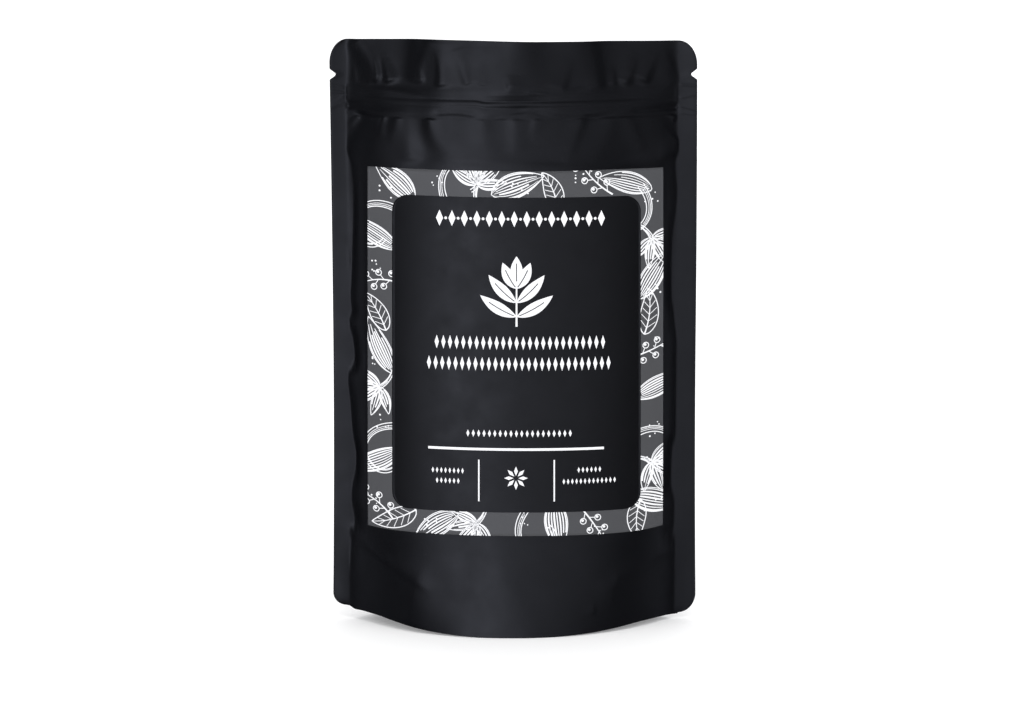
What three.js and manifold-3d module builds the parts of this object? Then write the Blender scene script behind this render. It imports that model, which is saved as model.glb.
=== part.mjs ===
// A filled stand-up pouch: two film panels welded along both sides, a gusset folded up between
// them at the bottom, a press-to-close zip near the top, tear notches above it and a printed
// label on the front. Millimetres, +Z up, the front looks along -Y, and the origin is on the
// surface that the pouch stands on, under the middle of its base.

import * as THREE from 'three';
import { mergeVertices } from 'three/addons/utils/BufferGeometryUtils.js';
import Module from 'manifold-3d';

const wasm = await Module();
wasm.setup();

// ---- Driving dimensions ----

const HEIGHT = 210.9; // the left end of the top edge, its highest point
const TOP_FALL = 0.5; // how much lower its right end is
const HALF_WIDTH = {
  left: { base: 65.6, waist: 64.4, top: 64.8 },
  right: { base: 66.5, waist: 65.4, top: 64.8 },
};
const SEAL_INNER = { left: -59.4, right: 58.6 }; // where the side welds meet the filled body
const SEAL_HALF_THICKNESS = 0.3;

// Half the depth of the filled body on its centre line, as [height, half depth].
const BELLY = [
  [0, 27.2], [12, 25.4], [30, 22.6], [90, 19.8], [120, 17.6], [135, 15.6],
  [150, 11.9], [165, 7.5], [175, 4.3], [184, 1.8], [195, 0.9], [HEIGHT, 0.2],
];
// How far the top is bowed forward between its two side welds, as [height, bow].
const BOW = [
  [0, 0], [100, 0], [120, 1.2], [135, 3], [150, 6],
  [165, 9.3], [175, 11.4], [184, 13], [195, 14.1], [HEIGHT, 13.2],
];
// The share of the body's cross-section that is round; the rest is flat, with rounded sides.
const ROUNDNESS = [[0, 0.85], [14, 0.68], [30, 0.58], [60, 0.56], [150, 0.6], [175, 0.5]];
const SIDE_POWER = 6;

const CORNER = {
  top: { rx: 6.4, rz: 8.5 },
  baseLeft: { rx: 4.9, rz: 4.8 },
  baseRight: { rx: 6.6, rz: 7.6 },
};
const NOTCH = { height: 198.4, halfMouth: 1.9, depth: 2.1 };

// The base rim is level in the middle and rises towards the side welds, as [distance, height].
const RIM = {
  left: [[12, 0], [22, 0.45], [30, 1.05], [41, 2.5], [50, 4.1], [54, 4.6], [60, 5]],
  right: [[15, 0], [27, 0.45], [36, 1.15], [47, 2.15], [53, 2.25], [60, 2.1]],
};

const ZIP = { bottom: 184.5, top: 194.9, strip: 0.25, bead: 189.5, beadHalfHeight: 1.1, proud: 0.7 };

const GUSSET = {
  skirt: 1.2, // thickness of the welded skirt that the pouch stands on
  reach: 57.4, // half width of the hollow under the gusset
  seam: { middle: 5, side: 34, power: 2.2 }, // height of the curved weld
  fold: { middle: 2.5, side: 33, power: 2.5 }, // height of the sagging fold between the panels
};

const LABEL = { left: -51.8, right: 53.5, bottom: 36.3, top: 166.2, gap: 0.3, thickness: 0.4 };

// Creases: [x, z] to [x, z], half width and depth. Above the zip the two films bend together,
// and below it each panel has its own.
const TOP_CREASES = [
  { from: [-58, 211], to: [-51, 197], width: 3.5, depth: 1.3 },
  { from: [-35, 213], to: [-36, 197], width: 4, depth: 1.6 },
  { from: [12, 213], to: [13, 198], width: 8, depth: 1 },
  { from: [31, 213], to: [31, 197], width: 4, depth: 1.4 },
];
const FRONT_CREASES = [
  { from: [-29, 183], to: [-24, 170], width: 4, depth: 1.2 },
  { from: [24, 182], to: [21, 172], width: 4, depth: 0.9 },
  { from: [-59, 31.5], to: [-33, 19], width: 3.5, depth: 1 },
  { from: [59, 28], to: [38, 19], width: 3.5, depth: 0.9 },
];
const BACK_CREASES = [
  { from: [34, 183], to: [27, 168], width: 4, depth: 1.2 },
  { from: [-20, 183], to: [-15, 171], width: 4, depth: 0.9 },
  { from: [-59, 30], to: [-34, 19], width: 3.5, depth: 1 },
  { from: [59, 31], to: [36, 19], width: 3.5, depth: 1 },
];

const BODY_CENTRE = (SEAL_INNER.left + SEAL_INNER.right) / 2;
const BODY_HALF_WIDTH = (SEAL_INNER.right - SEAL_INNER.left) / 2;

// ---- Curves ----

// A smooth curve through points [t, value] that never overshoots them (monotone cubic).
function smoothThrough(points) {
  const step = (i) => points[i + 1][0] - points[i][0];
  const rate = (i) => (points[i + 1][1] - points[i][1]) / step(i);
  const last = points.length - 1;
  const slopes = points.map((_, i) => {
    if (i === 0) return rate(0);
    if (i === last) return rate(last - 1);
    if (rate(i - 1) * rate(i) <= 0) return 0;
    const before = 2 * step(i) + step(i - 1);
    const after = step(i) + 2 * step(i - 1);
    return (before + after) / (before / rate(i - 1) + after / rate(i));
  });
  return (t) => {
    const clamped = THREE.MathUtils.clamp(t, points[0][0], points[last][0]);
    let i = 0;
    while (i < last - 1 && clamped > points[i + 1][0]) i++;
    const s = (clamped - points[i][0]) / step(i);
    const start = (1 + 2 * s) * (1 - s) ** 2 * points[i][1] + s * (1 - s) ** 2 * step(i) * slopes[i];
    const end = s * s * (3 - 2 * s) * points[i + 1][1] + s * s * (s - 1) * step(i) * slopes[i + 1];
    return start + end;
  };
}

const bellyAt = smoothThrough(BELLY);
const bowAt = smoothThrough(BOW);
const roundnessAt = smoothThrough(ROUNDNESS);
const rimLeft = smoothThrough(RIM.left);
const rimRight = smoothThrough(RIM.right);

// Zero on the centre line and one at the welds.
function across(x) {
  return Math.min(1, Math.abs(x - BODY_CENTRE) / BODY_HALF_WIDTH);
}

// One on the centre line and zero at the welds.
function crownAt(x, z) {
  const round = roundnessAt(z);
  return 1 - round * across(x) ** 2 - (1 - round) * across(x) ** SIDE_POWER;
}

function creaseDepth(creases, x, z) {
  let total = 0;
  for (const { from, to, width, depth } of creases) {
    const line = new THREE.Line3(new THREE.Vector3(...from), new THREE.Vector3(...to));
    const point = new THREE.Vector3(x, z, 0);
    const nearest = line.closestPointToPoint(point, true, new THREE.Vector3());
    total += depth * Math.exp(-((point.distanceTo(nearest) / width) ** 2));
  }
  return total;
}

// The zip's flat strip with its bead along the middle, raised from the film.
function zipRelief(z) {
  if (z < ZIP.bottom || z > ZIP.top) return 0;
  const bead = Math.max(0, 1 - ((z - ZIP.bead) / ZIP.beadHalfHeight) ** 2);
  return ZIP.strip + ZIP.proud * bead;
}

// Half the pouch's depth from its middle sheet to one panel; side is -1 in front, 1 at the back.
function halfDepth(x, z, side) {
  if (across(x) >= 1) return SEAL_HALF_THICKNESS;
  const crown = crownAt(x, z);
  const creased = creaseDepth(side < 0 ? FRONT_CREASES : BACK_CREASES, x, z) * Math.min(1, 3 * crown);
  const relief = zipRelief(z) * Math.min(1, 6 * (1 - across(x)));
  return SEAL_HALF_THICKNESS + Math.max(bellyAt(z) * crown - creased, 0) + relief;
}

function middleSheet(x, z) {
  const inside = 1 - across(x) ** 2;
  const aboveZip = THREE.MathUtils.smoothstep(z, ZIP.top - 0.5, ZIP.top + 2);
  const creased = creaseDepth(TOP_CREASES, x, z) * aboveZip * Math.min(1, 6 * inside);
  return creased - bowAt(z) * inside;
}

const panelY = (x, z, side) => middleSheet(x, z) + side * halfDepth(x, z, side);

function rimHeight(x) {
  return x < 0 ? rimLeft(-x) : rimRight(x);
}

function sideEdge(z, side) {
  const { base, waist, top } = side < 0 ? HALF_WIDTH.left : HALF_WIDTH.right;
  const middle = HEIGHT / 2;
  const end = z < middle ? base : top;
  return waist + (end - waist) * ((z - middle) / middle) ** 2;
}

// ---- Meshes and solids ----

// A closed box whose cuts lie at the given xs, ys and zs, each vertex then moved by warp.
function warpedBox(xs, ys, zs, warp) {
  const cells = [xs.length - 1, ys.length - 1, zs.length - 1];
  const box = new THREE.BoxGeometry(1, 1, 1, ...cells);
  box.deleteAttribute('normal');
  box.deleteAttribute('uv');
  const position = box.getAttribute('position');
  const cut = (values, t, count) => values[Math.round((t + 0.5) * count)];
  for (let i = 0; i < position.count; i++) {
    const x = cut(xs, position.getX(i), cells[0]);
    const y = cut(ys, position.getY(i), cells[1]);
    const z = cut(zs, position.getZ(i), cells[2]);
    position.setXYZ(i, ...warp(x, y, z));
  }
  return mergeVertices(box);
}

function toSolid(geometry) {
  const bare = geometry.clone();
  bare.deleteAttribute('normal');
  bare.deleteAttribute('uv');
  const merged = mergeVertices(bare);
  return new wasm.Manifold(new wasm.Mesh({
    numProp: 3,
    vertProperties: Float32Array.from(merged.getAttribute('position').array),
    triVerts: Uint32Array.from(merged.getIndex().array),
  }));
}

function toGeometry(solid) {
  const { vertProperties, triVerts } = solid.getMesh();
  const geometry = new THREE.BufferGeometry();
  geometry.setAttribute('position', new THREE.BufferAttribute(vertProperties, 3));
  geometry.setIndex(new THREE.BufferAttribute(triVerts, 1));
  return geometry;
}

function evenly(from, to, count) {
  return Array.from({ length: count + 1 }, (_, i) => from + ((to - from) * i) / count);
}

// ---- The grid that the panels and the label share ----

const GRID = { columns: 26, edgeCrowding: 0.4, margin: 2.5 };

function gridColumns() {
  const spread = evenly(-1, 1, GRID.columns).map((t) => {
    const crowded = (1 - GRID.edgeCrowding) * t + GRID.edgeCrowding * Math.sin((t * Math.PI) / 2);
    return BODY_CENTRE + BODY_HALF_WIDTH * crowded;
  });
  const outer = HALF_WIDTH.right.base + GRID.margin;
  const clearOfLabel = (x) => Math.min(Math.abs(x - LABEL.left), Math.abs(x - LABEL.right)) > 1;
  const all = [-outer, ...spread.filter(clearOfLabel), LABEL.left, LABEL.right, outer];
  return all.sort((a, b) => a - b);
}

function gridRows() {
  const { bottom, top, bead, beadHalfHeight } = ZIP;
  return [
    -GRID.margin, 0, 5, 10, 16, 22, 29,
    ...evenly(LABEL.bottom, 154, 12), 160, LABEL.top, 171, 176, 180,
    bottom - 0.3, bottom, bead - beadHalfHeight, bead - 0.4, bead + 0.4, bead + beadHalfHeight,
    top, top + 0.3, 197.5, 200, 204, 208, HEIGHT + GRID.margin,
  ];
}

const COLUMNS = gridColumns();
const ROWS = gridRows();

// ---- Pouch ----

function filledBody() {
  const warp = (x, side, z) => [x, panelY(x, z, side), z];
  return toSolid(warpedBox(COLUMNS, [-1, 1], ROWS, warp));
}

function seamHeight(curve, x) {
  return curve.middle + (curve.side - curve.middle) * Math.abs(x / BODY_HALF_WIDTH) ** curve.power;
}

// The hollow below the gusset: its roof sags from the front weld to the fold, and rises to the back.
function gussetHollow() {
  const floor = -GRID.margin;
  const warp = (x, across, up) => {
    const seam = seamHeight(GUSSET.seam, x);
    const roof = seam + (seamHeight(GUSSET.fold, x) - seam) * (1 - across * across);
    const z = floor + (roof - floor) * up;
    const side = across < 0 ? -1 : 1;
    const inner = Math.abs(panelY(x, Math.max(z, 0), side)) - GUSSET.skirt;
    return [x, across * Math.max(inner, 0.2), z];
  };
  const xs = evenly(-GUSSET.reach, GUSSET.reach, 24);
  return toSolid(warpedBox(xs, evenly(-1, 1, 8), evenly(0, 1, 4), warp));
}

function addNotch(outline, side, upwards) {
  const edge = side * sideEdge(NOTCH.height, side);
  const tip = edge - side * NOTCH.depth;
  const direction = upwards ? 1 : -1;
  outline.lineTo(edge, NOTCH.height - direction * NOTCH.halfMouth);
  outline.lineTo(tip, NOTCH.height - direction * 0.3);
  outline.lineTo(tip, NOTCH.height + direction * 0.3);
  outline.lineTo(edge, NOTCH.height + direction * NOTCH.halfMouth);
}

// The pouch seen from the front: rim, rounded corners, sides with their notches and top edge.
function frontOutline() {
  const { top, baseLeft, baseRight } = CORNER;
  const rimEnd = {
    left: -HALF_WIDTH.left.base + baseLeft.rx,
    right: HALF_WIDTH.right.base - baseRight.rx,
  };
  const outline = new THREE.Shape();
  const rim = evenly(rimEnd.left, rimEnd.right, 30).map((x) => new THREE.Vector2(x, rimHeight(x)));
  outline.setFromPoints(rim);

  const quarter = Math.PI / 2;
  const rightFoot = rimHeight(rimEnd.right) + baseRight.rz;
  outline.absellipse(rimEnd.right, rightFoot, baseRight.rx, baseRight.rz, -quarter, 0, false);
  for (const z of [60, 105, 150]) outline.lineTo(sideEdge(z, 1), z);
  addNotch(outline, 1, true);

  const leftShoulder = -HALF_WIDTH.left.top + top.rx;
  const rightShoulder = HALF_WIDTH.right.top - top.rx;
  outline.absellipse(rightShoulder, HEIGHT - TOP_FALL - top.rz, top.rx, top.rz, 0, quarter, false);
  outline.absellipse(leftShoulder, HEIGHT - top.rz, top.rx, top.rz, quarter, 2 * quarter, false);

  addNotch(outline, -1, false);
  for (const z of [150, 105, 60]) outline.lineTo(-sideEdge(z, -1), z);
  const leftFoot = rimHeight(rimEnd.left) + baseLeft.rz;
  const leftFootArc = [baseLeft.rx, baseLeft.rz, 2 * quarter, 3 * quarter, false];
  outline.absellipse(rimEnd.left, leftFoot, ...leftFootArc);
  return outline;
}

function outlineSlab() {
  const depth = 80;
  const slab = new THREE.ExtrudeGeometry(frontOutline(), { depth, bevelEnabled: false, curveSegments: 4 });
  slab.rotateX(Math.PI / 2);
  slab.translate(0, depth / 2, 0);
  return toSolid(slab);
}

function pouch() {
  const solid = filledBody().subtract(gussetHollow()).intersect(outlineSlab()).simplify(0.005);
  const material = new THREE.MeshStandardMaterial({ color: 0x24262b, roughness: 0.55, metalness: 0 });
  const mesh = new THREE.Mesh(toGeometry(solid), material);
  mesh.name = 'pouch';
  return mesh;
}

// ---- Label ----

function label() {
  const within = (values, low, high) => values.filter((v) => v >= low && v <= high);
  const xs = within(COLUMNS, LABEL.left, LABEL.right);
  const zs = within(ROWS, LABEL.bottom, LABEL.top);
  const warp = (x, y, z) => [x, panelY(x, z, -1) + y, z];
  const skin = warpedBox(xs, [-LABEL.gap - LABEL.thickness, -LABEL.gap], zs, warp);
  const material = new THREE.MeshStandardMaterial({ color: 0x4a4b4e, roughness: 0.6, metalness: 0 });
  const mesh = new THREE.Mesh(skin, material);
  mesh.name = 'label';
  return mesh;
}

const object = new THREE.Group();
object.add(pouch(), label());

export default object;
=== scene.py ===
import math
from collections import namedtuple

import bpy
import numpy as np
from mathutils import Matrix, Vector


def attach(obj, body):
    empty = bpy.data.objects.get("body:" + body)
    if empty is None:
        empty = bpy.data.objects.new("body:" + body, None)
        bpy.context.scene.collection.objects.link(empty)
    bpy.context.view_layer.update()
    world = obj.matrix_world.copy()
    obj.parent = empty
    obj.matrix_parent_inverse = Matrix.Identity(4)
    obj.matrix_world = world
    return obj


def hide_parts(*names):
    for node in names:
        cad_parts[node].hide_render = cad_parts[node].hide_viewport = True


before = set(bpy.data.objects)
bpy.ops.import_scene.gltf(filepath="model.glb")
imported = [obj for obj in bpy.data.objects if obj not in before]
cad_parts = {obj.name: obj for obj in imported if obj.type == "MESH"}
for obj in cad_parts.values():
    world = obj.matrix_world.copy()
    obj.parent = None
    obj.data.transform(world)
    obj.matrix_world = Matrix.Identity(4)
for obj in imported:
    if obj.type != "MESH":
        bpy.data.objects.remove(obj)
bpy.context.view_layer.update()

# A filled stand-up pouch of matte black film with a printed label. Sizes are in millimetres, in
# the frame's own axes: +Z up, the front looks along -Y, and the pouch stands on z = 0. The main
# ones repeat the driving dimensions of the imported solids. Side -1 is the left or the front, and
# side 1 the right or the back.

MM = 0.001
UP = math.pi / 2  # the direction of +Z, as an angle in the label's plane

# ---- Sizes ----

HEIGHT = 210.9
HALF_WIDTH = {-1: (65.6, 64.4, 64.8), 1: (66.5, 65.4, 64.8)}  # base, waist, top, on either side
WELD_LEFT, WELD_RIGHT = -59.4, 58.6
CENTRE = (WELD_LEFT + WELD_RIGHT) / 2
HALF = (WELD_RIGHT - WELD_LEFT) / 2
FILM = 0.22  # half the thickness of two welded films
FILM_EDGE = 0.12  # half the thickness at a cut edge

# Half the depth of the filled body on its centre line, as (height, half depth).
BELLY = [
    (0, 27.2), (12, 25.4), (30, 22.6), (90, 19.8), (120, 17.6), (135, 15.6),
    (150, 11.9), (165, 7.5), (175, 4.3), (184, 1.8), (195, 0.5), (205, 0.1), (HEIGHT, 0.02),
]
# How far the top is bowed forward between its two side welds, as (height, bow).
BOW = [
    (0, 0), (100, 0), (120, 1.2), (135, 3), (150, 6),
    (165, 9.3), (175, 11.3), (184, 12.2), (195, 11.6), (HEIGHT, 10),
]
# The share of the body's cross-section that is round; the rest is flat, with rounded sides.
ROUNDNESS = [(0, 0.85), (14, 0.68), (30, 0.58), (60, 0.56), (150, 0.6), (175, 0.5)]
SIDE_POWER = 6  # how square those sides are

# The feet of the side welds turn back with the belly. The turn fades out between two heights,
# and on either side it stands the outer edge back by a lean and a bend.
FOOT_TOP = (18, 42)
FOOT_LEAN = {-1: 0.25, 1: -0.2}
FOOT_BEND = {-1: 0.65, 1: 0.6}
FOOT_START = 1.9  # how much sooner the film leaves the weld at its foot

# How far the film runs before it leaves the weld, as (height, distance).
WELD_BLEND = [(0, 6), (26, 5), (48, 1.6), (60, 1.0), (HEIGHT, 1.0)]
# How far the front film stays flat beside each weld, as (height, distance).
FLAT_LEFT = [
    (16, 0), (30, 0.8), (33.4, 1.5), (37.2, 1.9), (44.4, 0.8), (50, 1.3), (54, 2.5), (60, 3.3),
    (70, 1.5), (81, 0.8), (89.5, 0), (91.6, 1.2), (96.3, 2.9), (105, 1.8), (109.7, 0.6),
    (113.5, 1.9), (118, 1.2), (125, 1.6), (136, 2.1), (154, 3.0), (166, 2.0), (171.5, 0),
]
FLAT_RIGHT = [
    (25, 0), (31, 0.8), (36.7, 0.1), (44, 0.1), (48, 1.3), (52, 1.5), (59, 1.4), (65, 1.1),
    (69, 0), (103, 0), (108.6, 0.7), (113.4, 1.1), (118, 1.9), (132, 2.1), (139.5, 1.9),
    (145, 1.3), (152, 0.4), (157, 0.1), (166, 0.9), (171.5, 0),
]
FLAT_REACH = (0.88, 0.97)  # between these shares of the way out, that flatness sets in
HELD_POWER = 24  # how suddenly the welds hold the sheet between the films straight

# How far the side welds' outer edges bend forward, as (height, distance).
BEND_LEFT = [
    (0, -0.1), (60, -0.1), (120, -0.05), (150, 0.15), (175, 0.45), (200, 0.6), (HEIGHT, 0.6),
]
BEND_RIGHT = [(0, -0.1), (100, -0.05), (150, 0), (190, 0.3), (HEIGHT, 0.45)]
BEND_POWER = 1.3  # how much of the bend is near the edge

# The rounded corners, as (radius across, radius up).
TOP_CORNER = (6.4, 8.5)
BASE_CORNER = {-1: (4.9, 4.8), 1: (6.6, 7.6)}
# The top edge, as (place, height).
TOP_EDGE = [
    (-58.4, 210.9), (-50, 211.05), (-38, 211.3), (-29, 211.65), (-11, 211.4),
    (0, 211.25), (10, 210.95), (30, 210.75), (46, 210.45), (58.4, 210.3),
]
NOTCH_HEIGHT, NOTCH_HALF_MOUTH, NOTCH_DEPTH = 198.4, 1.9, 2.1
NOTCH_BLUNT = 1.25  # over 1, the notch ends in a short flat

# The base rim on either side, as (distance from the middle, height).
RIM = {
    -1: [
        (12, 0), (22, 0.45), (30, 1.05), (41, 2.5), (50, 3.75),
        (54.5, 3.85), (57.2, 3.7), (59.4, 4.7),
    ],
    1: [(15, 0), (27, 0.45), (36, 1.1), (47, 1.9), (54, 1.75), (58.6, 1.6), (60, 2.0)],
}

ZIP_BOTTOM, ZIP_TOP = 184.5, 194.9
ZIP_STRIP = 0.22  # how far the zip's strip stands proud
STRIP_RISE, STRIP_FALL = (-0.9, 1.7), (-1.7, 1.1)  # its soft edges, from ZIP_BOTTOM and ZIP_TOP
STRIP_END = 0.02  # the share of the way in over which it rises from the welds
BEAD_HEIGHT, BEAD_HALF, BEAD_PROUD = 189.5, 0.95, 0.2
BEAD_STEP_AT, BEAD_STEP, BEAD_STEP_WIDTH = -11.3, 0.3, 1.2  # left of this place it is higher
BEAD_ENDS, BEAD_REACH = 0.3, 28  # it is clearest in the middle, and this share of that far out
GROOVE_DEPTH, GROOVE_HALF = (0.03, 0.09), 0.4  # the lower groove and the upper one
GROOVE_OFFSET = 0.3  # how far beyond the bead they run

# The films' own folds end between these distances from the zip's strip, and rise from the
# welds at this rate.
FOLD_END = (-1.0, 0.2)
FOLD_RISE = 2.2 / 3

# Slow unevenness of the films and of the gusset: height, seeds, and the waves' number and
# shortest and longest length.
SLOW_HEIGHT, SLOW_SEED, SLOW_WAVES = 0.22, {-1: 3, 1: 4}, (7, 26, 70)
RIPPLE_HEIGHT, RIPPLE_SEED, RIPPLE_WAVES = 0.25, 11, (6, 9, 30)

SKIRT = 0.5  # how thick the skirt below the gusset is
SKIRT_GAP = 0.1  # half the slit that is left where it meets the side welds
# The gusset's weld and the film's valley between: height in the middle, at the sides, power.
GUSSET_SEAM = (5, 34, 2.2)
GUSSET_VALLEY = (2.5, 33, 2.5)
CREASE_HEIGHT, CREASE_HALF = 0.8, 0.06  # along its middle, the width as a share of its depth
GUSSET_CLEAR = 0.6  # it stays this far off the floor

LABEL = {"left": -51.8, "right": 53.5, "bottom": 36.3, "top": 166.2}
PANEL = {"left": -42.9, "right": 45.3, "bottom": 44.8, "top": 157.0, "corner": 5.7}
LABEL_TURN = -0.0068  # the label is put on a little askew
LABEL_SPREAD = -0.00013  # and draws in towards its top, where the film curves more
# How far each layer lies off the film. Only the label and its panel have a thickness.
LABEL_BACK, LABEL_FACE = 0.05, 0.22
ART_LIFT, PANEL_LIFT, PRINT_LIFT, CUT_LIFT = 0.26, 0.32, 0.36, 0.39
PANEL_INK = 0.02


# ---- Curves ----

def smooth_through(points):
    """A smooth curve through points that never overshoots them (monotone cubic)."""
    t, v = np.array(points, float).T
    step = np.diff(t)
    rate = np.diff(v) / step
    slope = np.concatenate([rate[:1], np.zeros(len(rate) - 1), rate[-1:]])
    for i in range(1, len(rate)):
        if rate[i - 1] * rate[i] > 0:
            before = 2 * step[i] + step[i - 1]
            after = step[i] + 2 * step[i - 1]
            slope[i] = (before + after) / (before / rate[i - 1] + after / rate[i])

    def curve(x):
        x = np.clip(x, t[0], t[-1])
        i = np.clip(np.searchsorted(t, x, side="right") - 1, 0, len(step) - 1)
        s = (x - t[i]) / step[i]
        start = (1 + 2 * s) * (1 - s) ** 2 * v[i] + s * (1 - s) ** 2 * step[i] * slope[i]
        end = s * s * (3 - 2 * s) * v[i + 1] + s * s * (s - 1) * step[i] * slope[i + 1]
        return start + end

    return curve


belly_at = smooth_through(BELLY)
bow_at = smooth_through(BOW)
roundness_at = smooth_through(ROUNDNESS)
flat_left = smooth_through(FLAT_LEFT)
flat_right = smooth_through(FLAT_RIGHT)
weld_blend = smooth_through(WELD_BLEND)
bend_left = smooth_through(BEND_LEFT)
bend_right = smooth_through(BEND_RIGHT)
rim_left = smooth_through(RIM[-1])
rim_right = smooth_through(RIM[1])
top_edge = smooth_through(TOP_EDGE)


def ease(low, high, t):
    """Zero up to low and one from high, with a smooth step between."""
    s = np.clip((t - low) / (high - low), 0, 1)
    return s * s * (3 - 2 * s)


def mix(a, b, t):
    return a + (b - a) * t


def rounded(t):
    """How far a quarter circle has turned away, as a share of its radius."""
    return 1 - np.sqrt(1 - t**2)


def foot(z):
    """One at the foot of the side welds, which turn there with the belly, and zero above."""
    return 1 - ease(*FOOT_TOP, z)


# ---- Folds in the film ----

# A fold is a ridge, or a valley where its heights are negative, from start to end. Its heights
# are those at its two ends, and its widths the reach of its two flanks: left and right for a
# fold that runs down, below and above for one that runs to the right. bow bends its middle
# sideways, taper stretches its widths at the start, and past its ends it fades over blunt.
Fold = namedtuple("Fold", "start end heights widths bow taper blunt", defaults=(0, 1, 0.8))
CREST = 0.6  # how much of a fold's width its rounded crest takes


def fold_height(x, z, fold):
    (x0, z0), (x1, z1) = fold.start, fold.end
    length = math.hypot(x1 - x0, z1 - z0)
    ux, uz = (x1 - x0) / length, (z1 - z0) / length
    along = (x - x0) * ux + (z - z0) * uz
    t = np.clip(along / length, 0, 1)
    side = (z - z0) * ux - (x - x0) * uz - 4 * fold.bow * t * (1 - t)
    scale = mix(fold.taper, 1, t)
    crest = CREST * scale * math.sqrt(fold.widths[0] * fold.widths[1])
    reach = scale * mix(*fold.widths, 0.5 + 0.5 * np.tanh(side / crest))
    beyond = np.maximum(np.maximum(-along, along - length), 0) / fold.blunt
    return mix(*fold.heights, t) * np.exp(-(side / reach) ** 2 - beyond**2)


def folded(x, z, table):
    """The heights of all the folds in a table, added up."""
    total = 0 * x * z
    for fold in table:
        total += fold_height(x, z, fold)
    return total


# These bend both films together: wide swells across the top, and the pleats above the zip.
SHEET_FOLDS = [
    Fold((-39.5, 214), (-40.7, 185.5), (-2.2, 0.35), (16, 11), bow=0.7, blunt=12),
    Fold((-25.5, 210), (-25.9, 188), (3.25, 2.4), (11, 32), bow=1.4, taper=0.6, blunt=10),
    Fold((-3.9, 211), (-4.8, 196), (0.25, 0.7), (13.4, 6.2), bow=-1.3, taper=1.4, blunt=4),
    Fold((1.3, 213), (4, 196), (3.7, 2), (11, 9.7), blunt=5.5),
    Fold((-44, 203), (-47.7, 174.5), (0.9, 1), (5.6, 13), bow=2, blunt=9),
    Fold((18.2, 211.5), (20.4, 192), (1.5, 0.65), (8.8, 7.9), taper=1.2, blunt=7),
    Fold((37.8, 210), (40, 195.7), (-1.5, -0.75), (8.1, 13), bow=-2, taper=1.4, blunt=7),
    Fold((-31.5, 193), (-32.4, 173), (-0.7, -0.7), (5.5, 6.3), bow=-1.6, blunt=7),
    Fold((12.9, 191), (11.8, 172), (0.45, 0), (7.5, 6.3), taper=0.8, blunt=7),
    Fold((35.6, 188), (40, 170), (-0.3, -2.3), (15.3, 11.8), bow=0.4, taper=1.8, blunt=6.5),
    Fold((-55.3, 209.4), (-49.4, 198.2), (0.95, 1.3), (3.3, 3.3), bow=1.2, taper=1.1, blunt=2),
    Fold((-56.3, 203), (-55.8, 197), (0, 0.2), (1.1, 1), taper=0.5, blunt=1.4),
    Fold((-48.6, 203), (-47.9, 197), (0.1, 0.35), (1, 1.9), bow=0.4, taper=0.5, blunt=1.3),
    Fold((-45.4, 204.7), (-43.8, 197.5), (0.1, 1.05), (1.5, 2.9), bow=0.2, taper=0.7, blunt=1.4),
    Fold((-31.3, 210.7), (-34.2, 197.8), (0.7, 0.8), (2.8, 2.6), bow=-0.2, taper=1.1, blunt=1.5),
    Fold((-32.9, 201.5), (-32.2, 198), (0, 0.3), (1.2, 1), taper=0.5, blunt=1.1),
    Fold((-26.4, 206), (-25.7, 196.5), (0.08, 0.65), (1.2, 3.1), bow=0.5, taper=0.7, blunt=1.2),
    Fold((-19.5, 208), (-16.1, 196.8), (0.1, 0.3), (1.4, 1.9), taper=1.6, blunt=0.6),
    Fold((-13, 202), (-13.2, 197.6), (0, 0.1), (1, 1), blunt=0.9),
    Fold((-10.4, 203), (-10.6, 196.6), (0.02, 0.25), (2, 2.1), bow=0.3, blunt=0.6),
    Fold((-0.7, 200), (-0.6, 196), (0, 0.45), (1.4, 4.2), taper=1.3, blunt=1.7),
    Fold((19.1, 206), (16.8, 195.6), (0, 0.35), (4.3, 1.7), bow=0.3, taper=1.2, blunt=1.7),
    Fold((26.2, 212), (29.6, 196.1), (0.55, 0.65), (4.5, 2.1), taper=1.3, blunt=1.9),
    Fold((34.5, 202), (35.1, 196.4), (0, 0.33), (2.1, 1.1), blunt=1.4),
    Fold((42.6, 205), (39.8, 196.9), (0.1, 0.8), (2.9, 1.8), blunt=1.8),
    Fold((49.1, 204.4), (46.2, 197.7), (0.15, 0.78), (4.6, 1.8), blunt=1.9),
    Fold((51.2, 209), (57.5, 196.7), (0, 0.8), (4, 1.4), bow=0.2, taper=1.8, blunt=1.9),
    Fold((-53, 183.8), (-57.3, 173), (-1.55, -0.2), (2.8, 4), taper=1.4, blunt=2),
]

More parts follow.
